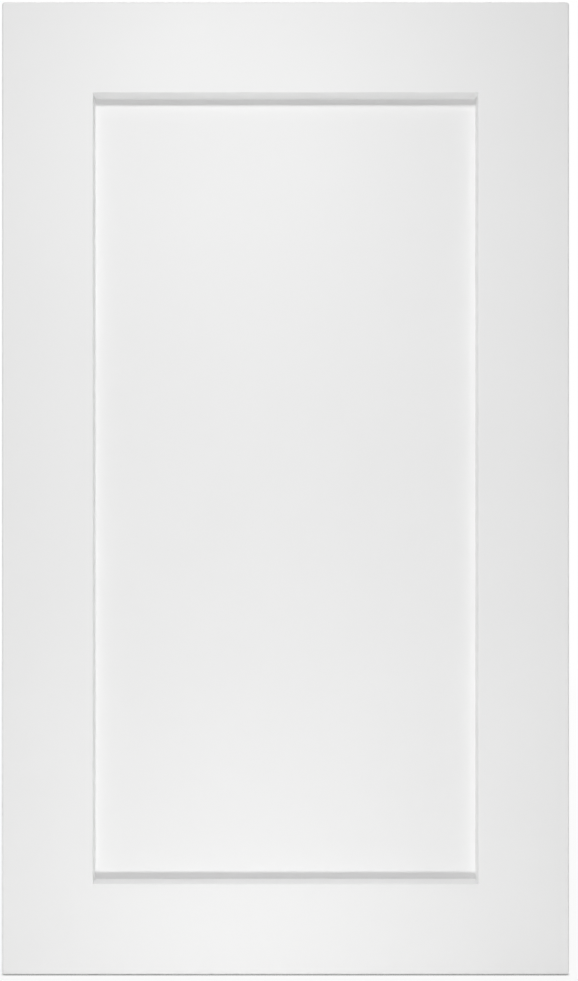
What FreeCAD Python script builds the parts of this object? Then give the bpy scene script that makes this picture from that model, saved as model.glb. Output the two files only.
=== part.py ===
import FreeCAD, Part
import os

from FreeCAD import Vector

# A painted shaker door for a kitchen cabinet, in five wooden pieces: two stiles, two rails and a
# floating panel. The stiles run the full height. Each rail ends in a stub tenon that fills the
# groove of the stile, and the same groove, run round the inside of the frame, holds the panel.
# X is the width, Z the height. The front faces -Y. The origin is the middle of the bottom edge.
# All sizes are in millimetres.

# The whole door
door_width = 355.6
door_height = 609.6
door_thickness = 19.05

# Frame members, across their faces
stile_width = 57.15
rail_width = 57.15

# Groove and panel
front_recess = 9.525
panel_thickness = 6.35
groove_slack = 0.2
groove_depth = 12.0
panel_float = 4.0
panel_edge_break = 0.5

# Stub tenons of the rails
tenon_side_gap = 0.05
tenon_end_gap = 0.3

# Edges, eased after the door is glued up
outer_corner_radius = 2.0
front_roundover = 1.6
back_roundover = 0.8
opening_arris = 0.35

# Rubber barrels in the grooves, squeezed between the groove and the panel's edge
spacers_per_stile = 3
spacers_per_rail = 2
spacer_length = 19.0
spacer_side_clearance = 0.15
spacer_bulge = 0.8

# Pins through each tenon, shot from the back
pin_diameter = 0.64
pin_length = 12.7
pin_filler_depth = 0.5
pin_rows = 2

# Boring for two concealed hinges, in the back of the left stile
cup_diameter = 35.0
cup_depth = 13.0
cup_edge_distance = 5.0
cup_end_distance = 88.9
cup_point_diameter = 3.0
cup_point_depth = 1.2
screw_pilot_diameter = 2.5
screw_pilot_depth = 11.0
screw_pilot_point_depth = 0.75
screw_spacing = 45.0
screw_offset = 9.5

# Planes that the pieces share
half_width = door_width / 2
front_y = -door_thickness / 2
back_y = door_thickness / 2
panel_front_y = front_y + front_recess
groove_back_y = panel_front_y + panel_thickness + groove_slack
opening_half_width = half_width - stile_width
opening_bottom = rail_width
opening_top = door_height - rail_width
panel_entry = groove_depth - panel_float
tenon_length = groove_depth - tenon_end_gap


def box(x0, x1, y0, y1, z0, z1):
    return Part.makeBox(x1 - x0, y1 - y0, z1 - z0, Vector(x0, y0, z0))


def evenly(low, high, count):
    # The middles of as many equal stretches between two ends
    return [low + (high - low) * (i + 0.5) / count for i in range(count)]


def perimeter_edges(solid, y):
    # The closed ring of edges that lies in the plane at this y
    ring = []
    for edge in solid.Edges:
        bounds = edge.BoundBox
        if abs(bounds.YMin - y) < 1e-6 and abs(bounds.YMax - y) < 1e-6:
            ring.append(edge)
    return ring


def corner_edges(solid):
    # The four edges that run through the thickness at the corners
    return [edge for edge in solid.Edges if edge.BoundBox.YLength > solid.BoundBox.YLength / 2]


def glued_up_outline():
    # The whole slab after sanding: each member is trimmed by it, so the easing runs across the joints
    slab = box(-half_width, half_width, front_y, back_y, 0, door_height)
    slab = slab.makeFillet(outer_corner_radius, corner_edges(slab))
    slab = slab.makeFillet(front_roundover, perimeter_edges(slab, front_y))
    return slab.makeFillet(back_roundover, perimeter_edges(slab, back_y))


def arris_cutter(face_y, outward):
    # A flat block, wider than the opening, with its inner rim chamfered: it is as wide as the opening
    # one arris below the face, wider by the arris at the face itself, and runs on past it.
    spread = 2 * opening_arris
    rim_y = face_y - outward * opening_arris
    y0, y1 = sorted((rim_y, rim_y + outward * 2 * spread))
    block = box(
        -opening_half_width - spread, opening_half_width + spread, y0, y1,
        opening_bottom - spread, opening_top + spread)
    return block.makeChamfer(spread, perimeter_edges(block, rim_y))


def finish(member):
    # Trim to the sanded outline and break the arris of the opening, front and back
    member = member.common(glued_up_outline())
    member = member.cut(arris_cutter(front_y, -1))
    return member.cut(arris_cutter(back_y, 1))


def bored(x, z, diameter, depth, point_diameter, point_depth):
    # A blind hole from the back, with the cone that the bit's point leaves at the bottom
    inward = Vector(0, -1, 0)
    hole = Part.makeCylinder(diameter / 2, depth, Vector(x, back_y, z), inward)
    point = Part.makeCone(point_diameter / 2, 0, point_depth, Vector(x, back_y - depth, z), inward)
    return hole.fuse(point)


def hinge_boring(z):
    # The cup of one hinge, and the two screw pilots beside it
    x = -half_width + cup_edge_distance + cup_diameter / 2
    cuts = [bored(x, z, cup_diameter, cup_depth, cup_point_diameter, cup_point_depth)]
    for side in (-1, 1):
        pilot_z = z + side * screw_spacing / 2
        cuts.append(bored(
            x + screw_offset, pilot_z, screw_pilot_diameter, screw_pilot_depth,
            screw_pilot_diameter, screw_pilot_point_depth))
    return cuts


def pin_solids(side, end):
    # The pins through one tenon, from just under the back face. side is -1 for the left stile
    # and 1 for the right. end is -1 for the bottom rail and 1 for the top.
    x = side * (opening_half_width + tenon_length / 2)
    tenon_height = rail_width - groove_depth
    pins = []
    for in_from_edge in evenly(0, tenon_height, pin_rows):
        z = in_from_edge if end < 0 else door_height - in_from_edge
        head = Vector(x, back_y - pin_filler_depth, z)
        pins.append(Part.makeCylinder(pin_diameter / 2, pin_length, head, Vector(0, -1, 0)))
    return pins


def stile(side):
    # Full height, grooved along the whole inner edge
    inner_x = side * opening_half_width
    x0, x1 = sorted((side * half_width, inner_x))
    groove_x0, groove_x1 = sorted((inner_x, inner_x + side * groove_depth))
    body = box(x0, x1, front_y, back_y, 0, door_height)
    body = body.cut(box(groove_x0, groove_x1, panel_front_y, groove_back_y, 0, door_height))
    body = finish(body)
    for end in (-1, 1):
        for pin in pin_solids(side, end):
            body = body.cut(pin)
    return body


def hinge_stile():
    body = stile(-1)
    for z in (cup_end_distance, door_height - cup_end_distance):
        for cut in hinge_boring(z):
            body = body.cut(cut)
    return body


def rail(end):
    # Shoulders butt against the stiles. The groove is run through the tenons as well,
    # so each tenon is as high as the rail less the groove.
    outer_z, inner_z = (0, opening_bottom) if end < 0 else (door_height, opening_top)
    z0, z1 = sorted((outer_z, inner_z))
    groove_z0, groove_z1 = sorted((inner_z, inner_z + end * groove_depth))
    reach = opening_half_width + tenon_length
    body = box(-opening_half_width, opening_half_width, front_y, back_y, z0, z1)
    tongue = box(-reach, reach, panel_front_y + tenon_side_gap, groove_back_y - tenon_side_gap, z0, z1)
    body = body.fuse(tongue)
    body = body.cut(box(-reach, reach, panel_front_y, groove_back_y, groove_z0, groove_z1))
    body = finish(body)
    for side in (-1, 1):
        for pin in pin_solids(side, end):
            body = body.cut(pin)
    return body.removeSplitter()


def centre_panel():
    # Lies against the front wall of the groove, with the slack behind it
    board = box(
        -opening_half_width - panel_entry, opening_half_width + panel_entry,
        panel_front_y, panel_front_y + panel_thickness,
        opening_bottom - panel_entry, opening_top + panel_entry)
    rims = perimeter_edges(board, panel_front_y)
    rims += perimeter_edges(board, panel_front_y + panel_thickness)
    return board.makeChamfer(panel_edge_break, rims)


def panel_spacer(seat, towards_panel):
    # A rubber barrel lying along the groove, its middle on the seat. Squeezing has made it flat
    # on the groove's bottom and on the panel's edge, and bulged its two other sides.
    across = Vector(0, 1, 0)
    along = across.cross(towards_panel)
    waist = (groove_back_y - panel_front_y) / 2 - spacer_side_clearance
    flat = waist - spacer_bulge
    start = seat - along * (spacer_length / 2)

    def at(side, height):
        return start + across * side + towards_panel * height

    section = Part.Wire([
        Part.makeLine(at(-flat, 0), at(flat, 0)),
        Part.Arc(at(flat, 0), at(waist, panel_float / 2), at(flat, panel_float)).toShape(),
        Part.makeLine(at(flat, panel_float), at(-flat, panel_float)),
        Part.Arc(at(-flat, panel_float), at(-waist, panel_float / 2), at(-flat, 0)).toShape(),
    ])
    return Part.Face(section).extrude(along * spacer_length)


def panel_spacers():
    groove_y = (panel_front_y + groove_back_y) / 2
    spacers = {}
    for name, side in (("left", -1), ("right", 1)):
        x = side * (opening_half_width + groove_depth)
        for i, z in enumerate(evenly(opening_bottom, opening_top, spacers_per_stile)):
            seat = Vector(x, groove_y, z)
            spacers[f"panel_spacer_{name}_{i + 1}"] = panel_spacer(seat, Vector(-side, 0, 0))
    rail_grooves = (("bottom", opening_bottom - groove_depth, 1), ("top", opening_top + groove_depth, -1))
    for name, z, up in rail_grooves:
        for i, x in enumerate(evenly(-opening_half_width, opening_half_width, spacers_per_rail)):
            seat = Vector(x, groove_y, z)
            spacers[f"panel_spacer_{name}_{i + 1}"] = panel_spacer(seat, Vector(0, 0, up))
    return spacers


def corner_pins():
    pins = {}
    for end_name, end in (("bottom", -1), ("top", 1)):
        for side_name, side in (("left", -1), ("right", 1)):
            pins[f"corner_pins_{end_name}_{side_name}"] = Part.makeCompound(pin_solids(side, end))
    return pins


def all_pieces():
    pieces = {
        "left_stile": hinge_stile(),
        "right_stile": stile(1),
        "top_rail": rail(1),
        "bottom_rail": rail(-1),
        "centre_panel": centre_panel(),
    }
    pieces.update(panel_spacers())
    pieces.update(corner_pins())
    return pieces


os.makedirs("parts", exist_ok=True)
for name, shape in all_pieces().items():
    shape.exportStep(f"parts/{name}.step")
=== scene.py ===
import math

import bmesh
import bpy
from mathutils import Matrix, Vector


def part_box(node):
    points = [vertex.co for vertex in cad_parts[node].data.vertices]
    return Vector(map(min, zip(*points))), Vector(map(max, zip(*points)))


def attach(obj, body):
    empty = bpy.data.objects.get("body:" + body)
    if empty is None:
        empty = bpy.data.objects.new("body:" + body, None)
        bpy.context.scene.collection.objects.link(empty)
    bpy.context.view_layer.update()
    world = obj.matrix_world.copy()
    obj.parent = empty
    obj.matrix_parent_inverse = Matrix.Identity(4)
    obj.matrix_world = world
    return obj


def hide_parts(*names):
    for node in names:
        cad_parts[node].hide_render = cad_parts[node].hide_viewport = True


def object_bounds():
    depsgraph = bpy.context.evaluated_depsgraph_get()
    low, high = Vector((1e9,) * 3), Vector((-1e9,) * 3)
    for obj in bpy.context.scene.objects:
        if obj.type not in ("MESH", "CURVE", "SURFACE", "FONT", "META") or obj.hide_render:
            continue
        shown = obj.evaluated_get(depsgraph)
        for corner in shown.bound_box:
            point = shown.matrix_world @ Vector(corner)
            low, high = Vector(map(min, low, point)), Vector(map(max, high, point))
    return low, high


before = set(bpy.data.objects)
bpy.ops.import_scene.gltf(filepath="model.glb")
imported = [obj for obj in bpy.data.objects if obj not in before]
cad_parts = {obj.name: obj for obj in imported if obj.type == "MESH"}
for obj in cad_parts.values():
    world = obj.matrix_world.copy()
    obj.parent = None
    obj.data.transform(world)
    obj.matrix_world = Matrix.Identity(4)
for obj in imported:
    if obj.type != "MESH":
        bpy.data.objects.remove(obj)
cad_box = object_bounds()

# The stiles
# Two uprights of hard maple, moulded with a groove along the inner edge. They run the full height
# of the door. The frame is glued up round the panel, sanded as one slab, its edges eased, and
# sprayed white, so the easing and the paint run across the joints.
mm = 0.001
slab_low, slab_high = (Vector(corner) for corner in cad_box)
front, back = slab_low.y, slab_high.y
outer_x, top_z = slab_high.x, slab_high.z
panel_low, panel_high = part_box("centre_panel")
rail_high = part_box("bottom_rail")[1]
opening_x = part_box("right_stile")[0].x
opening_low, opening_high = rail_high.z, top_z - rail_high.z
groove_slack, groove_depth = 0.2 * mm, 12.0 * mm
groove_front, groove_back = panel_low.y, panel_high.y + groove_slack
outer_corner = 2.0 * mm
front_easing = 1.6 * mm
back_easing = 0.8 * mm
opening_easing = 0.35 * mm
beyond = 5.0 * mm  # how far each blank reaches past the slab that trims it


def closed_skin(name, rings):
    # A closed skin over a row of rings, each with the same number of points, its two ends faced over
    count = len(rings[0])
    faces = [tuple(range(count)), tuple(range((len(rings) - 1) * count, len(rings) * count))]
    for start in range(0, (len(rings) - 1) * count, count):
        for i in range(count):
            following = (i + 1) % count
            faces.append((start + i, start + following, start + count + following, start + count + i))
    mesh = bpy.data.meshes.new(name)
    mesh.from_pydata([point for ring in rings for point in ring], [], faces)
    shell = bmesh.new()
    shell.from_mesh(mesh)
    bmesh.ops.recalc_face_normals(shell, faces=shell.faces)
    shell.to_mesh(mesh)
    shell.free()
    return mesh


def eased_rectangle(half_x, low_z, high_z, y, radius=0.0, steps=0):
    # The outline of a board at one depth, its corners turned at this radius
    middles = ((half_x, high_z, 0), (-half_x, high_z, 90), (-half_x, low_z, 180), (half_x, low_z, 270))
    ring = []
    for corner_x, corner_z, start in middles:
        x = corner_x - math.copysign(radius, corner_x)
        z = corner_z - radius if corner_z == high_z else corner_z + radius
        for step in range(steps + 1):
            turn = math.radians(start + 90 * step / max(steps, 1))
            ring.append((x + radius * math.cos(turn), y, z + radius * math.sin(turn)))
    return ring


def quarter_round(radius, steps):
    # How far a rounded edge has drawn in, and how deep that is, from the face to the side
    turns = [math.radians(90 - 90 * step / steps) for step in range(steps + 1)]
    return [(radius * (1 - math.cos(turn)), radius * (1 - math.sin(turn))) for turn in turns]


def sanded_slab():
    # The glued-up door as one sanded block, which trims each member
    corner_steps, front_steps, back_steps = 8, 10, 6
    rings = []
    for inset, depth in quarter_round(front_easing, front_steps):
        rings.append(eased_rectangle(
            outer_x - inset, inset, top_z - inset, front + depth, outer_corner - inset, corner_steps))
    for inset, depth in reversed(quarter_round(back_easing, back_steps)):
        rings.append(eased_rectangle(
            outer_x - inset, inset, top_z - inset, back - depth, outer_corner - inset, corner_steps))
    return closed_skin("sanded_slab", rings)


def opening_rim(face, outward):
    # What sanding takes off the arris of the opening, on the front or on the back
    clear, steps = 1.0 * mm, 4
    rings = [eased_rectangle(
        opening_x + opening_easing, opening_low - opening_easing, opening_high + opening_easing,
        face + outward * clear)]
    for flare, depth in quarter_round(opening_easing, steps):
        rings.append(eased_rectangle(
            opening_x + flare, opening_low - flare, opening_high + flare, face - outward * depth))
    return closed_skin("opening_rim", rings)


def joint_hairlines():
    # Where a rail's shoulder meets a stile, the paint has sunk in: a V as fine as a hair, on the
    # back and over both ends of the door. The front was filled and sanded, so it has none.
    hair = 0.12 * mm
    lines = []
    for x in (-opening_x, opening_x):
        for low, high in ((-beyond, opening_low), (opening_high, top_z + beyond)):
            lines.append(closed_skin("back_hairline", [[
                (x - hair, back, z), (x, back - hair, z), (x + hair, back, z), (x, back + hair, z)]
                for z in (low, high)]))
        for z in (0, top_z):
            lines.append(closed_skin("end_hairline", [[
                (x - hair, y, z), (x, y, z - hair), (x + hair, y, z), (x, y, z + hair)]
                for y in (front + front_easing, back + beyond)]))
    return lines


def joined_by(operation, mesh, *tools):
    # One mesh joined with, trimmed by or cut by others
    piece = bpy.data.objects.new("blank", mesh)
    bpy.context.scene.collection.objects.link(piece)
    operands = []
    for tool in tools:
        operand = bpy.data.objects.new("tool", tool)
        bpy.context.scene.collection.objects.link(operand)
        step = piece.modifiers.new("step", "BOOLEAN")
        step.operation, step.solver, step.object = operation, "EXACT", operand
        operands.append(operand)
    shaped = bpy.data.meshes.new_from_object(
        piece.evaluated_get(bpy.context.evaluated_depsgraph_get()))
    for spent in operands + [piece]:
        bpy.data.objects.remove(spent)
    return shaped


def finished_piece(name, mesh, material, slot, *nodes):
    # The member in its place, smooth over its rounded edges and flat on its faces
    piece = bpy.data.objects.new(name, mesh)
    bpy.context.scene.collection.objects.link(piece)
    mesh.materials.clear()
    mesh.materials.append(material)
    mesh.shade_smooth()
    mesh.set_sharp_from_angle(angle=math.radians(35))
    flats = piece.modifiers.new("flat_faces", "WEIGHTED_NORMAL")
    flats.keep_sharp = True
    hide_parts(*nodes)
    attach(piece, "root")
    return piece


def linear(hex_colour):
    # An sRGB hex value as the linear colour that a shader socket takes
    parts = [int(hex_colour[i:i + 2], 16) / 255 for i in (1, 3, 5)]
    return [v / 12.92 if v <= 0.04045 else ((v + 0.055) / 1.055) ** 2.4 for v in parts] + [1.0]


def add(tree, kind, inputs=None, **settings):
    # A node with its settings, and its inputs as values or as the sockets that feed them
    node = tree.nodes.new(kind)
    for name, value in settings.items():
        setattr(node, name, value)
    for name, value in (inputs or {}).items():
        if isinstance(value, bpy.types.NodeSocket):
            tree.links.new(value, node.inputs[name])
        else:
            node.inputs[name].default_value = value
    return node


def blank_material(name):
    # A new material with nothing in its tree yet
    material = bpy.data.materials.new(name)
    material.use_nodes = True
    material.node_tree.nodes.clear()
    return material, material.node_tree


def sprayed_lacquer(name, grain):
    # White acid-catalysed lacquer, sprayed in two coats and sanded between them: satin, smooth, with
    # a trace of orange peel about 2 mm across. Grain gives the stretch of the wood under it, which
    # shows through only as a breath of sheen. Fibreboard is the same all ways.
    peel_width, peel_depth = 2.2 * mm, 0.010 * mm
    pore_width, pore_depth = 0.9 * mm, 0.002 * mm
    drift_width = 70 * mm
    material, tree = blank_material(name)
    place = add(tree, "ShaderNodeTexCoord").outputs["Object"]
    peel = add(tree, "ShaderNodeTexNoise", {
        "Vector": place, "Scale": 1 / peel_width, "Detail": 2.0, "Roughness": 0.45})
    along_grain = add(tree, "ShaderNodeMapping", {"Vector": place, "Scale": grain})
    pores = add(tree, "ShaderNodeTexNoise", {
        "Vector": along_grain.outputs["Vector"], "Scale": 1 / pore_width, "Detail": 3.0, "Roughness": 0.6})
    drift = add(tree, "ShaderNodeTexNoise", {"Vector": place, "Scale": 1 / drift_width, "Detail": 2.0})
    tone = add(tree, "ShaderNodeMix", {
        0: drift.outputs["Fac"], 6: linear("#EEEEEE"), 7: linear("#F1F1F1")}, data_type="RGBA")
    sheen = add(tree, "ShaderNodeMapRange", {
        "Value": drift.outputs["Fac"], "From Min": 0.3, "From Max": 0.7, "To Min": 0.50, "To Max": 0.56})
    film = add(tree, "ShaderNodeBump", {
        "Height": peel.outputs["Fac"], "Strength": 1.0, "Distance": peel_depth})
    film = add(tree, "ShaderNodeBump", {
        "Height": pores.outputs["Fac"], "Strength": 1.0, "Distance": pore_depth,
        "Normal": film.outputs["Normal"]})
    shader = add(tree, "ShaderNodeBsdfPrincipled", {
        "Base Color": tone.outputs[2], "Roughness": sheen.outputs["Result"],
        "Normal": film.outputs["Normal"], "IOR": 1.5, "Metallic": 0.0})
    add(tree, "ShaderNodeOutputMaterial", {"Surface": shader.outputs["BSDF"]})
    return material


def grooved_stile(side):
    # The moulded strip, longer and wider than the slab, so that the slab trims it
    wall, bottom, outside = opening_x, opening_x + groove_depth, outer_x + beyond
    profile = [
        (outside, front - beyond), (wall, front - beyond), (wall, groove_front),
        (bottom, groove_front), (bottom, groove_back), (wall, groove_back),
        (wall, back + beyond), (outside, back + beyond)]
    return closed_skin("grooved_stile", [
        [(side * x, y, z) for x, y in profile] for z in (-beyond, top_z + beyond)])


# The hinge boring: a 35 mm cup with its centre mark and two screw pilots, bored after painting,
# so the cut walls are bare wood. The bit's spurs score a ring round the cup's bottom, and each
# hole breaks the lacquer a little at its edge.
cup_radius, cup_depth = 17.5 * mm, 13.0 * mm
cup_edge_distance, cup_end_distance = 5.0 * mm, 88.9 * mm
cup_x = -outer_x + cup_edge_distance + cup_radius
cup_heights = (cup_end_distance, top_z - cup_end_distance)
mark_radius, mark_depth = 1.5 * mm, 1.2 * mm
spur_width, spur_depth = 0.4 * mm, 0.25 * mm
pilot_radius, pilot_depth, pilot_point = 1.25 * mm, 11.0 * mm, 0.75 * mm
pilot_x, pilot_rise = cup_x + 9.5 * mm, 22.5 * mm
broken_edge = 0.2 * mm


def lathe_hole(name, x, z, profile, steps):
    # A hole turned about an axis through the thickness, from a list of radius and depth
    rings = []
    for radius, depth in profile:
        rings.append([(
            x + radius * math.cos(math.tau * i / steps), back - depth,
            z + radius * math.sin(math.tau * i / steps)) for i in range(steps)])
    return closed_skin(name, rings)


def hinge_holes():
    clear, tip = 1.0 * mm, 0.05 * mm
    scored = cup_radius - spur_width
    cup = (
        (cup_radius + broken_edge, -clear), (cup_radius + broken_edge, 0.0), (cup_radius, broken_edge),
        (cup_radius, cup_depth + spur_depth), (scored, cup_depth + spur_depth),
        (scored - broken_edge, cup_depth), (mark_radius, cup_depth), (tip, cup_depth + mark_depth))
    pilot = (
        (pilot_radius + broken_edge, -clear), (pilot_radius + broken_edge, 0.0),
        (pilot_radius, broken_edge), (pilot_radius, pilot_depth), (tip, pilot_depth + pilot_point))
    holes = []
    for z in cup_heights:
        holes.append(lathe_hole("hinge_cup", cup_x, z, cup, 72))
        for side in (-1, 1):
            holes.append(lathe_hole("screw_pilot", pilot_x, z + side * pilot_rise, pilot, 24))
    return holes


def is_bored(centre):
    # Whether a face lies in a cup or in a pilot, below the lacquer's broken edge
    near = 0.1 * mm
    if back - centre.y < broken_edge - near / 2:
        return False
    for z in cup_heights:
        if math.hypot(centre.x - cup_x, centre.z - z) < cup_radius + near:
            return True
        for side in (-1, 1):
            if math.hypot(centre.x - pilot_x, centre.z - z - side * pilot_rise) < pilot_radius + near:
                return True
    return False


def bored_maple():
    # Bare hard maple, cut by a sharp bit: pale tan with fine growth rings along the stile, darker
    # flecks, and faint rings that the bit's cutters left round the middle of the cup.
    growth_width, fleck_width, cut_pitch = 3.0 * mm, 0.5 * mm, 1.3 * mm
    fleck_depth, cut_depth = 0.05 * mm, 0.008 * mm
    material, tree = blank_material("bored_maple")
    place = add(tree, "ShaderNodeTexCoord").outputs["Object"]
    stretched = add(tree, "ShaderNodeMapping", {"Vector": place, "Scale": (1.0, 1.0, 0.06)})
    growth = add(tree, "ShaderNodeTexNoise", {
        "Vector": stretched.outputs["Vector"], "Scale": 1 / growth_width, "Detail": 4.0, "Distortion": 0.6})
    fleck = add(tree, "ShaderNodeTexNoise", {
        "Vector": stretched.outputs["Vector"], "Scale": 1 / fleck_width, "Detail": 2.0})
    parts = add(tree, "ShaderNodeSeparateXYZ", {"Vector": place})
    mirrored = add(tree, "ShaderNodeMath", {
        0: parts.outputs["Z"], 1: top_z / 2}, operation="SUBTRACT")
    mirrored = add(tree, "ShaderNodeMath", {0: mirrored.outputs[0]}, operation="ABSOLUTE")
    from_cup_z = add(tree, "ShaderNodeMath", {
        0: mirrored.outputs[0], 1: cup_heights[1] - top_z / 2}, operation="SUBTRACT")
    from_cup_x = add(tree, "ShaderNodeMath", {0: parts.outputs["X"], 1: cup_x}, operation="SUBTRACT")
    across = add(tree, "ShaderNodeCombineXYZ", {
        "X": from_cup_x.outputs[0], "Z": from_cup_z.outputs[0]})
    radius = add(tree, "ShaderNodeVectorMath", {0: across.outputs[0]}, operation="LENGTH")
    swirl = add(tree, "ShaderNodeMath", {
        0: radius.outputs["Value"], 1: math.tau / cut_pitch}, operation="MULTIPLY")
    swirl = add(tree, "ShaderNodeMath", {0: swirl.outputs[0]}, operation="SINE")
    wood = add(tree, "ShaderNodeValToRGB", {"Fac": growth.outputs["Fac"]})
    wood.color_ramp.elements[0].position, wood.color_ramp.elements[0].color = 0.35, linear("#C39F70")
    wood.color_ramp.elements[1].position, wood.color_ramp.elements[1].color = 0.65, linear("#DDC197")
    flecked = add(tree, "ShaderNodeMapRange", {
        "Value": fleck.outputs["Fac"], "From Min": 0.3, "From Max": 0.7, "To Min": 0.86, "To Max": 1.04})
    colour = add(tree, "ShaderNodeVectorMath", {
        0: wood.outputs["Color"], "Scale": flecked.outputs["Result"]}, operation="SCALE")
    cut = add(tree, "ShaderNodeBump", {
        "Height": swirl.outputs[0], "Strength": 1.0, "Distance": cut_depth})
    cut = add(tree, "ShaderNodeBump", {
        "Height": fleck.outputs["Fac"], "Strength": 1.0, "Distance": fleck_depth,
        "Normal": cut.outputs["Normal"]})
    shader = add(tree, "ShaderNodeBsdfPrincipled", {
        "Base Color": colour.outputs["Vector"], "Roughness": 0.75, "Normal": cut.outputs["Normal"]})
    add(tree, "ShaderNodeOutputMaterial", {"Surface": shader.outputs["BSDF"]})
    return material


door_slab = sanded_slab()
rims = [opening_rim(front, -1), opening_rim(back, 1)] + joint_hairlines()
lacquered_stile = sprayed_lacquer("satin_lacquer_on_maple_upright", (1.0, 1.0, 0.03))
bare_maple = bored_maple()

opening_stile = joined_by("DIFFERENCE", joined_by("INTERSECT", grooved_stile(1), door_slab), *rims)
finished_piece("opening_stile", opening_stile, lacquered_stile, "frame_paint", "right_stile")

hinge_stile = joined_by(
    "DIFFERENCE", joined_by("INTERSECT", grooved_stile(-1), door_slab), *rims, *hinge_holes())
finished_piece("hinge_stile", hinge_stile, lacquered_stile, "frame_paint", "left_stile")
hinge_stile.materials.append(bare_maple)
for face in hinge_stile.polygons:
    if is_bored(face.center):
        face.material_index = 1

# The rails
# Two cross members of the same strip. Each end has a stub tenon that fills the stile's groove and
# is glued there, and the shoulders butt tight against the stiles.
tenon_reach = rail_high.x
tenon_slack = 0.05 * mm
tenon_front, tenon_back = groove_front + tenon_slack, groove_back - tenon_slack


def grooved_rail():
    # The bottom rail; the top one is the same, turned end for end
    groove_bottom = opening_low - groove_depth
    profile = [
        (front - beyond, -beyond), (front - beyond, opening_low), (groove_front, opening_low),
        (groove_front, groove_bottom), (groove_back, groove_bottom), (groove_back, opening_low),
        (back + beyond, opening_low), (back + beyond, -beyond)]
    body = closed_skin("grooved_rail", [
        [(x, y, z) for y, z in profile] for x in (-opening_x, opening_x)])
    tongue = closed_skin("tongue", [
        [(x, y, z) for y, z in (
            (tenon_front, -beyond), (tenon_front, groove_bottom),
            (tenon_back, groove_bottom), (tenon_back, -beyond))]
        for x in (-tenon_reach, tenon_reach)])
    return joined_by("UNION", body, tongue)


lacquered_rail = sprayed_lacquer("satin_lacquer_on_maple_cross", (0.03, 1.0, 1.0))
bottom_rail = joined_by("DIFFERENCE", joined_by("INTERSECT", grooved_rail(), door_slab), *rims)
finished_piece("lower_rail", bottom_rail, lacquered_rail, "frame_paint", "bottom_rail")

turned = grooved_rail()
for vertex in turned.vertices:
    vertex.co = (-vertex.co.x, vertex.co.y, top_z - vertex.co.z)
top_rail = joined_by("DIFFERENCE", joined_by("INTERSECT", turned, door_slab), *rims)
finished_piece("upper_rail", top_rail, lacquered_rail, "frame_paint", "top_rail")

# The panel
# One flat board of fibreboard, 6.35 mm thick, painted before the door is glued up. It floats in
# the grooves, tight against their front wall, so it can move while the frame stays square.
panel_break, break_steps = 0.5 * mm, 3


def floating_panel():
    rings = []
    half_x, low, high = panel_high.x, panel_low.z, panel_high.z
    for inset, depth in quarter_round(panel_break, break_steps):
        rings.append(eased_rectangle(half_x - inset, low + inset, high - inset, panel_low.y + depth))
    for inset, depth in reversed(quarter_round(panel_break, break_steps)):
        rings.append(eased_rectangle(half_x - inset, low + inset, high - inset, panel_high.y - depth))
    return closed_skin("floating_panel", rings)


lacquered_board = sprayed_lacquer("satin_lacquer_on_fibreboard", (1.0, 1.0, 1.0))
finished_piece("flat_panel", floating_panel(), lacquered_board, "panel_paint", "centre_panel")

# The panel spacers
# Ten barrels of soft black rubber, pushed into the grooves before the panel, three to a stile and
# two to a rail. The panel's edge squeezes them, which keeps it in the middle and stops its rattle.
squeezed_low, squeezed_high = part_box("panel_spacer_right_1")
lying_low, lying_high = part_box("panel_spacer_top_1")


def tree_with_inputs(name, sizes):
    # An empty geometry tree with one named input for each size
    tree = bpy.data.node_groups.new(name, "GeometryNodeTree")
    tree.interface.new_socket(name="Geometry", in_out="OUTPUT", socket_type="NodeSocketGeometry")
    kinds = {int: "NodeSocketInt", float: "NodeSocketFloat"}
    for label, value in sizes.items():
        kind = kinds.get(type(value), "NodeSocketMaterial")
        tree.interface.new_socket(name=label, in_out="INPUT", socket_type=kind)
    return tree


def grown(tree, sizes):
    # What the tree makes from these sizes, as a plain mesh
    holder = bpy.data.objects.new(tree.name, bpy.data.meshes.new(tree.name))
    bpy.context.scene.collection.objects.link(holder)
    modifier = holder.modifiers.new(tree.name, "NODES")
    modifier.node_group = tree
    for item in tree.interface.items_tree:
        if item.in_out == "INPUT":
            modifier[item.identifier] = sizes[item.name]
    mesh = bpy.data.meshes.new_from_object(
        holder.evaluated_get(bpy.context.evaluated_depsgraph_get()))
    bpy.data.objects.remove(holder)
    return mesh


def moulded_rubber():
    # Black EPDM rubber from a bead-blasted mould: dead matt, with a fine pebble and a dusty bloom
    pebble_width, pebble_depth, bloom_width = 0.35 * mm, 0.03 * mm, 6 * mm
    material, tree = blank_material("moulded_epdm_rubber")
    place = add(tree, "ShaderNodeTexCoord").outputs["Object"]
    pebble = add(tree, "ShaderNodeTexNoise", {"Vector": place, "Scale": 1 / pebble_width, "Detail": 2.0})
    bloom = add(tree, "ShaderNodeTexNoise", {"Vector": place, "Scale": 1 / bloom_width, "Detail": 3.0})
    dusty = add(tree, "ShaderNodeMix", {
        0: bloom.outputs["Fac"], 6: linear("#1E1E1F"), 7: linear("#2B2B2C")}, data_type="RGBA")
    skin = add(tree, "ShaderNodeBump", {
        "Height": pebble.outputs["Fac"], "Strength": 1.0, "Distance": pebble_depth})
    shader = add(tree, "ShaderNodeBsdfPrincipled", {
        "Base Color": dusty.outputs[2], "Roughness": 0.82, "IOR": 1.52, "Normal": skin.outputs["Normal"]})
    add(tree, "ShaderNodeOutputMaterial", {"Surface": shader.outputs["BSDF"]})
    return material


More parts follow.
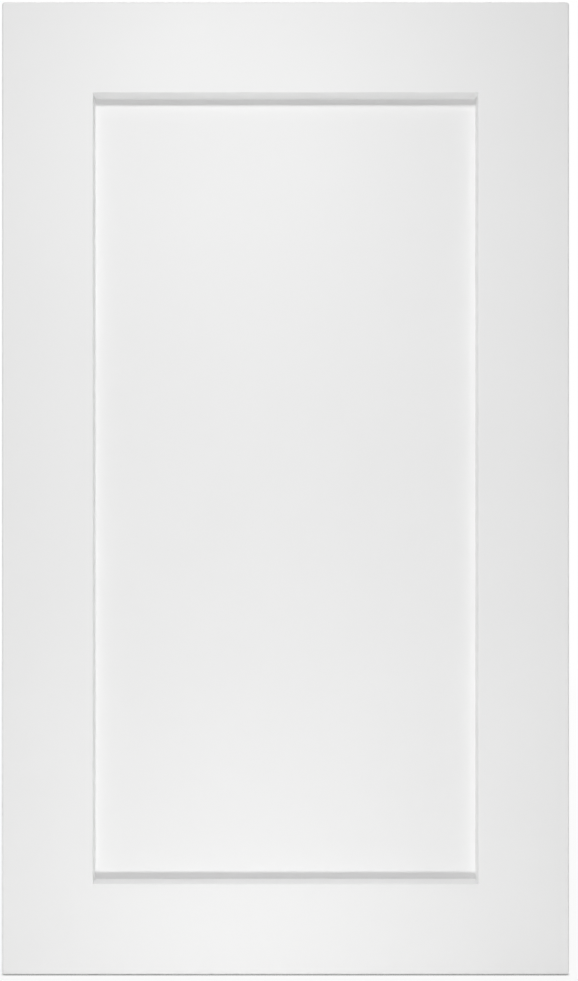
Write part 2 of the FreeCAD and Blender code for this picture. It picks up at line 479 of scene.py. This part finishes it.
spacer_sizes = {
    "Barrels per stile": 3,
    "Barrels per rail": 2,
    "Sides": 28,
    "Steps along": 12,
    "Flattening": 1.45,
    "End width": 0.8,
    "End sharpness": 6.0,
    "Barrel length": squeezed_high.z - squeezed_low.z,
    "Squeezed height": squeezed_high.x - squeezed_low.x,
    "Bulged width": squeezed_high.y - squeezed_low.y,
    "Seat across": (squeezed_high.x + squeezed_low.x) / 2,
    "Seat up": (lying_high.z + lying_low.z) / 2 - top_z / 2,
    "Opening half width": opening_x,
    "Opening half height": (opening_high - opening_low) / 2,
    "Groove middle": (squeezed_high.y + squeezed_low.y) / 2,
    "Door middle": top_z / 2,
    "Rubber": moulded_rubber(),
}


def barrel_tree():
    # One squeezed barrel, flat on its two loaded sides and bulged on the free ones, set at equal
    # steps along each of the four grooves
    tree = tree_with_inputs("panel_spacers", spacer_sizes)
    given = add(tree, "NodeGroupInput").outputs
    barrel = add(tree, "GeometryNodeMeshCylinder", {
        "Vertices": given["Sides"], "Side Segments": given["Steps along"], "Radius": 1.0, "Depth": 2.0})
    unit = add(tree, "ShaderNodeSeparateXYZ", {"Vector": add(tree, "GeometryNodeInputPosition").outputs[0]})
    widened = add(tree, "ShaderNodeMath", {
        0: unit.outputs["X"], 1: given["Flattening"]}, operation="MULTIPLY")
    loaded = add(tree, "ShaderNodeClamp", {"Value": widened.outputs[0], "Min": -1.0, "Max": 1.0})
    to_end = add(tree, "ShaderNodeMath", {0: unit.outputs["Z"]}, operation="ABSOLUTE")
    to_end = add(tree, "ShaderNodeMath", {
        0: to_end.outputs[0], 1: given["End sharpness"]}, operation="POWER")
    waist = add(tree, "ShaderNodeMapRange", {
        "Value": to_end.outputs[0], "From Min": 0.0, "From Max": 1.0, "To Min": 1.0,
        "To Max": given["End width"]})
    half = {}
    for label in ("Barrel length", "Squeezed height", "Bulged width"):
        half[label] = add(tree, "ShaderNodeMath", {0: given[label], 1: 0.5}, operation="MULTIPLY").outputs[0]
    height = add(tree, "ShaderNodeMath", {
        0: loaded.outputs[0], 1: half["Squeezed height"]}, operation="MULTIPLY")
    height = add(tree, "ShaderNodeMath", {
        0: height.outputs[0], 1: waist.outputs["Result"]}, operation="MULTIPLY")
    width = add(tree, "ShaderNodeMath", {
        0: unit.outputs["Y"], 1: half["Bulged width"]}, operation="MULTIPLY")
    width = add(tree, "ShaderNodeMath", {
        0: width.outputs[0], 1: waist.outputs["Result"]}, operation="MULTIPLY")
    length = add(tree, "ShaderNodeMath", {
        0: unit.outputs["Z"], 1: half["Barrel length"]}, operation="MULTIPLY")
    shaped = add(tree, "GeometryNodeSetPosition", {
        "Geometry": barrel.outputs["Mesh"],
        "Position": add(tree, "ShaderNodeCombineXYZ", {
            "X": height.outputs[0], "Y": width.outputs[0], "Z": length.outputs[0]}).outputs[0]})
    grooves = add(tree, "GeometryNodeJoinGeometry")
    for along, count, reach, seat, turn in (
            ("Z", "Barrels per stile", "Opening half height", "Seat across", 0.0),
            ("X", "Barrels per rail", "Opening half width", "Seat up", 90.0)):
        across = "X" if along == "Z" else "Z"
        step = add(tree, "ShaderNodeMath", {0: given[reach], 1: given[count]}, operation="DIVIDE")
        first = add(tree, "ShaderNodeMath", {0: step.outputs[0], 1: given[reach]}, operation="SUBTRACT")
        pitch = add(tree, "ShaderNodeMath", {0: step.outputs[0], 1: 2.0}, operation="MULTIPLY")
        for side in (-1.0, 1.0):
            to_side = add(tree, "ShaderNodeMath", {0: given[seat], 1: side}, operation="MULTIPLY")
            row = add(tree, "GeometryNodeMeshLine", {
                "Count": given[count],
                "Start Location": add(tree, "ShaderNodeCombineXYZ", {
                    along: first.outputs[0], across: to_side.outputs[0]}).outputs[0],
                "Offset": add(tree, "ShaderNodeCombineXYZ", {along: pitch.outputs[0]}).outputs[0]})
            placed = add(tree, "GeometryNodeInstanceOnPoints", {
                "Points": row.outputs["Mesh"], "Instance": shaped.outputs["Geometry"],
                "Rotation": (0.0, math.radians(turn), 0.0)})
            tree.links.new(placed.outputs["Instances"], grooves.inputs[0])
    lifted = add(tree, "GeometryNodeTransform", {
        "Geometry": grooves.outputs[0],
        "Translation": add(tree, "ShaderNodeCombineXYZ", {
            "Y": given["Groove middle"], "Z": given["Door middle"]}).outputs[0]})
    whole = add(tree, "GeometryNodeRealizeInstances", {"Geometry": lifted.outputs["Geometry"]})
    coated = add(tree, "GeometryNodeSetMaterial", {
        "Geometry": whole.outputs["Geometry"], "Material": given["Rubber"]})
    add(tree, "NodeGroupOutput", {"Geometry": coated.outputs["Geometry"]})
    return tree


finished_piece(
    "rubber_barrels", grown(barrel_tree(), spacer_sizes), spacer_sizes["Rubber"], "spacer_rubber",
    *[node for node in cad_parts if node.startswith("panel_spacer")])

# The corner pins
# Two headless steel pins through each tenon, shot from the back to hold the joint while its glue
# sets. The gun leaves each one just under the face, and a dab of filler is sanded over it.
pin_low, pin_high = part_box("corner_pins_bottom_right")
pin_radius = 0.32 * mm
pin_sizes = {
    "Pins per corner": 2,
    "Step between pins": pin_high.z - pin_low.z - 2 * pin_radius,
    "Sides": 16,
    "Steps along": 8,
    "Radius": pin_radius,
    "Length": pin_high.y - pin_low.y,
    "Tip length": 0.8 * mm,
    "Tip width": 0.35,
    "Corner across": (pin_high.x + pin_low.x) / 2,
    "Corner up": top_z / 2 - (pin_high.z + pin_low.z) / 2,
    "Depth": (pin_high.y + pin_low.y) / 2,
    "Door middle": top_z / 2,
}


def drawn_wire():
    # Galvanised steel wire, drawn through a die: dull bright, scored along its length
    score_width, score_depth = 0.08 * mm, 0.006 * mm
    material, tree = blank_material("drawn_galvanised_wire")
    place = add(tree, "ShaderNodeTexCoord").outputs["Object"]
    drawn = add(tree, "ShaderNodeMapping", {"Vector": place, "Scale": (1.0, 0.02, 1.0)})
    scores = add(tree, "ShaderNodeTexNoise", {
        "Vector": drawn.outputs["Vector"], "Scale": 1 / score_width, "Detail": 2.0})
    zinc = add(tree, "ShaderNodeMix", {
        0: scores.outputs["Fac"], 6: linear("#9A9B9D"), 7: linear("#B9BABC")}, data_type="RGBA")
    dull = add(tree, "ShaderNodeMapRange", {
        "Value": scores.outputs["Fac"], "To Min": 0.28, "To Max": 0.5})
    lines = add(tree, "ShaderNodeBump", {
        "Height": scores.outputs["Fac"], "Strength": 1.0, "Distance": score_depth})
    shader = add(tree, "ShaderNodeBsdfPrincipled", {
        "Base Color": zinc.outputs[2], "Metallic": 1.0, "Roughness": dull.outputs["Result"],
        "Normal": lines.outputs["Normal"]})
    add(tree, "ShaderNodeOutputMaterial", {"Surface": shader.outputs["BSDF"]})
    return material


def pinned_corners(name, sizes):
    # One turned shape at each place where a pin goes in: a pair in each of the four corners
    tree = tree_with_inputs(name, sizes)
    given = add(tree, "NodeGroupInput").outputs
    shank = add(tree, "GeometryNodeMeshCylinder", {
        "Vertices": given["Sides"], "Side Segments": given["Steps along"], "Radius": given["Radius"],
        "Depth": given["Length"]})
    unit = add(tree, "ShaderNodeSeparateXYZ", {"Vector": add(tree, "GeometryNodeInputPosition").outputs[0]})
    half = add(tree, "ShaderNodeMath", {0: given["Length"], 1: 0.5}, operation="MULTIPLY")
    from_tip = add(tree, "ShaderNodeMath", {0: unit.outputs["Z"], 1: half.outputs[0]}, operation="ADD")
    taper = add(tree, "ShaderNodeMapRange", {
        "Value": from_tip.outputs[0], "From Min": 0.0, "From Max": given["Tip length"],
        "To Min": given["Tip width"], "To Max": 1.0})
    narrow = add(tree, "ShaderNodeCombineXYZ", {
        "X": taper.outputs["Result"], "Y": taper.outputs["Result"], "Z": 1.0})
    pointed = add(tree, "ShaderNodeVectorMath", {
        0: add(tree, "GeometryNodeInputPosition").outputs[0], 1: narrow.outputs[0]}, operation="MULTIPLY")
    pin = add(tree, "GeometryNodeSetPosition", {
        "Geometry": shank.outputs["Mesh"], "Position": pointed.outputs[0]})
    pin = add(tree, "GeometryNodeTransform", {
        "Geometry": pin.outputs["Geometry"], "Rotation": (math.radians(-90), 0.0, 0.0)})
    width = add(tree, "ShaderNodeMath", {0: given["Corner across"], 1: 2.0}, operation="MULTIPLY")
    height = add(tree, "ShaderNodeMath", {0: given["Corner up"], 1: 2.0}, operation="MULTIPLY")
    corners = add(tree, "GeometryNodeMeshGrid", {
        "Vertices X": 2, "Vertices Y": 2, "Size X": width.outputs[0], "Size Y": height.outputs[0]})
    corners = add(tree, "GeometryNodeTransform", {
        "Geometry": corners.outputs["Mesh"], "Rotation": (math.radians(90), 0.0, 0.0)})
    spread = add(tree, "ShaderNodeMath", {0: given["Pins per corner"], 1: -1.0}, operation="ADD")
    spread = add(tree, "ShaderNodeMath", {
        0: spread.outputs[0], 1: given["Step between pins"]}, operation="MULTIPLY")
    spread = add(tree, "ShaderNodeMath", {0: spread.outputs[0], 1: -0.5}, operation="MULTIPLY")
    pair = add(tree, "GeometryNodeMeshLine", {
        "Count": given["Pins per corner"],
        "Start Location": add(tree, "ShaderNodeCombineXYZ", {"Z": spread.outputs[0]}).outputs[0],
        "Offset": add(tree, "ShaderNodeCombineXYZ", {"Z": given["Step between pins"]}).outputs[0]})
    pair = add(tree, "GeometryNodeInstanceOnPoints", {
        "Points": pair.outputs["Mesh"], "Instance": pin.outputs["Geometry"]})
    placed = add(tree, "GeometryNodeInstanceOnPoints", {
        "Points": corners.outputs["Geometry"], "Instance": pair.outputs["Instances"]})
    lifted = add(tree, "GeometryNodeTransform", {
        "Geometry": placed.outputs["Instances"],
        "Translation": add(tree, "ShaderNodeCombineXYZ", {
            "Y": given["Depth"], "Z": given["Door middle"]}).outputs[0]})
    whole = add(tree, "GeometryNodeRealizeInstances", {"Geometry": lifted.outputs["Geometry"]})
    coated = add(tree, "GeometryNodeSetMaterial", {
        "Geometry": whole.outputs["Geometry"], "Material": given["Finish"]})
    add(tree, "NodeGroupOutput", {"Geometry": coated.outputs["Geometry"]})
    return grown(tree, sizes)


pin_sizes["Finish"] = drawn_wire()
finished_piece(
    "steel_pins", pinned_corners("steel_pins", pin_sizes), pin_sizes["Finish"], "pin_steel",
    *[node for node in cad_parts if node.startswith("corner_pins")])

# The filler over the pins
# A dab of putty over each pin's hole, sanded and painted with the frame. The wood has dried a
# little since, so on the back each dab stands a hair proud of the face.
dab_length, dab_proud = 0.10 * mm, 0.03 * mm
dab_sizes = dict(pin_sizes, **{
    "Radius": 0.95 * mm, "Length": dab_length, "Tip length": dab_length,
    "Depth": back + dab_proud - dab_length / 2, "Finish": lacquered_stile})
dabs = bpy.data.objects.new("filler_dabs", pinned_corners("filler_dabs", dab_sizes))
bpy.context.scene.collection.objects.link(dabs)
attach(dabs, "root")

# The floor
# A pale matt studio floor. It is nearly white to the camera and keeps the door's shadow. Where the door
# stands on it, ambient occlusion paints a shade that darkens its colour and its whiteness to the camera.
floor_radius, floor_sides = 4.0, 64
grit_width, painted_shade_reach = 30 * mm, 1.5 * mm


def seen_or_mirrored(tree):
    # 1 for a ray that comes from the camera, straight or by way of gloss or glass, and 0 for any other
    rays = add(tree, "ShaderNodeLightPath")
    seen = add(tree, "ShaderNodeMath", {
        0: rays.outputs["Is Camera Ray"], 1: rays.outputs["Is Glossy Ray"]}, operation="MAXIMUM")
    seen = add(tree, "ShaderNodeMath", {
        0: seen.outputs[0], 1: rays.outputs["Is Transmission Ray"]}, operation="MAXIMUM")
    return seen.outputs[0]


def studio_floor():
    mesh = bpy.data.meshes.new("studio_floor")
    turns = [math.tau * i / floor_sides for i in range(floor_sides)]
    mesh.from_pydata(
        [(floor_radius * math.cos(turn), floor_radius * math.sin(turn), 0) for turn in turns], [],
        [tuple(range(floor_sides))])
    material, tree = blank_material("pale_matt_floor")
    place = add(tree, "ShaderNodeTexCoord").outputs["Object"]
    grit = add(tree, "ShaderNodeTexNoise", {"Vector": place, "Scale": 1 / grit_width, "Detail": 3.0})
    shade = add(tree, "ShaderNodeMix", {
        0: grit.outputs["Fac"], 6: linear("#CECECD"), 7: linear("#D2D2D1")}, data_type="RGBA")
    # Painted shade: ambient occlusion darkens the floor's colour in the narrow gap where the door stands on
    # it.
    painted_crevice_shade = add(tree, "ShaderNodeAmbientOcclusion", {
        "Color": shade.outputs[2], "Distance": painted_shade_reach}, samples=8)
    away = add(tree, "ShaderNodeVectorMath", {0: place}, operation="LENGTH")
    fade = add(tree, "ShaderNodeMapRange", {
        "Value": away.outputs["Value"], "From Min": 0.2, "From Max": 1.5, "To Min": 0.90, "To Max": 1.0})
    # The same painted shade cuts the white lift, so the floor is darker to the camera where the door stands
    # on it.
    lift_cut_by_painted_shade = add(tree, "ShaderNodeMath", {
        0: painted_crevice_shade.outputs["AO"], 1: fade.outputs["Result"]}, operation="MULTIPLY")
    lift = add(tree, "ShaderNodeMath", {
        0: seen_or_mirrored(tree), 1: lift_cut_by_painted_shade.outputs[0]}, operation="MULTIPLY")
    matt = add(tree, "ShaderNodeBsdfPrincipled", {
        "Base Color": painted_crevice_shade.outputs["Color"], "Roughness": 0.9, "Specular IOR Level": 0.1})
    white = add(tree, "ShaderNodeEmission", {"Color": (1.0, 1.0, 1.0, 1.0), "Strength": 1.0})
    surface = add(tree, "ShaderNodeMixShader", {
        0: lift.outputs[0], 1: matt.outputs["BSDF"], 2: white.outputs["Emission"]})
    add(tree, "ShaderNodeOutputMaterial", {"Surface": surface.outputs["Shader"]})
    mesh.materials.append(material)
    return bpy.data.objects.new("studio_floor", mesh)


floor = studio_floor()
bpy.context.scene.collection.objects.link(floor)

# The light
# Four soft lamps in front of the door, two above it and two below, as the photograph's two shadow
# lines show, a fill behind it, and a pale room that is brightest beside the door. A lamp has its
# place, the height that it faces on the door, its size, its spread in degrees and its watts.
room = {
    "above_left": ((-0.10, -0.57, 0.797), 0.05, (0.07, 0.112), 150, 1.144),
    "above_right": ((0.06, -0.57, 0.797), 0.05, (0.07, 0.112), 150, 0.511),
    "below_left": ((-0.10, -0.57, -0.202), 0.64, (0.07, 0.112), 150, 0.929),
    "below_right": ((0.06, -0.57, -0.202), 0.64, (0.07, 0.112), 150, 0.516),
    "behind": ((0.25, 0.90, 0.62), 0.305, (0.6, 0.6), 180, 5.0),
}
under_floor = bpy.data.collections.new("what_stops_the_lower_lamps")
under_floor.objects.link(floor)
under_floor.collection_objects[0].light_linking.link_state = "EXCLUDE"
for name, (where, aim_height, size, spread, watts) in room.items():
    light = bpy.data.lights.new(name, "AREA")
    light.shape, light.size, light.size_y = "RECTANGLE", *size
    light.spread, light.energy = math.radians(spread), watts
    lamp = bpy.data.objects.new(name, light)
    bpy.context.scene.collection.objects.link(lamp)
    lamp.location = where
    aim = Vector((0, front, aim_height)) - lamp.location
    lamp.rotation_euler = aim.to_track_quat("-Z", "Y").to_euler()
    lamp.visible_camera = False
    if name.startswith("below"):
        lamp.light_linking.blocker_collection = under_floor


def pale_room():
    # White to the camera and to mirrors; for all other light brightest level with the door's plane
    world = bpy.data.worlds.new("pale_room")
    world.use_nodes = True
    tree = world.node_tree
    tree.nodes.clear()
    way = add(tree, "ShaderNodeSeparateXYZ", {"Vector": add(tree, "ShaderNodeTexCoord").outputs["Generated"]})
    ahead = add(tree, "ShaderNodeMath", {0: way.outputs["Y"]}, operation="ABSOLUTE")
    brightness = add(tree, "ShaderNodeMapRange", {
        "Value": ahead.outputs[0], "To Min": 0.90, "To Max": 0.0})
    walls = add(tree, "ShaderNodeBackground", {
        "Color": (1.0, 1.0, 1.0, 1.0), "Strength": brightness.outputs["Result"]})
    white = add(tree, "ShaderNodeBackground", {"Color": (1.0, 1.0, 1.0, 1.0), "Strength": 1.0})
    both = add(tree, "ShaderNodeMixShader", {
        0: seen_or_mirrored(tree), 1: walls.outputs["Background"], 2: white.outputs["Background"]})
    add(tree, "ShaderNodeOutputWorld", {"Surface": both.outputs["Shader"]})
    return world


bpy.context.scene.world = pale_room()

# The camera
# Square on to the door, 610 mm from its front face, as the depth of the recess in the photograph
# gives. It stands a little low and left of the middle, and the lens is shifted by as much.
photo_wide, photo_high = 578, 981
pixels_per_mm = 1.598
door_middle_in_photo = (285.55, 488.35)
distance = 610 * mm
aside, down = -8 * mm, -26 * mm
lens = bpy.data.cameras.new("camera")
lens.sensor_fit, lens.sensor_width = "AUTO", 36.0
lens.lens = pixels_per_mm * distance / mm * lens.sensor_width / photo_high
lens.shift_x = (photo_wide / 2 - door_middle_in_photo[0] - aside / mm * pixels_per_mm) / photo_high
lens.shift_y = (door_middle_in_photo[1] - photo_high / 2 - down / mm * pixels_per_mm) / photo_high
lens.clip_start, lens.clip_end = 0.01, 50.0
camera = bpy.data.objects.new("camera", lens)
bpy.context.scene.collection.objects.link(camera)
camera.location = (aside, front - distance, top_z / 2 + down)
camera.rotation_euler = (math.radians(90), 0, 0)
bpy.context.scene.camera = camera
bpy.context.scene.view_settings.view_transform = "Standard"
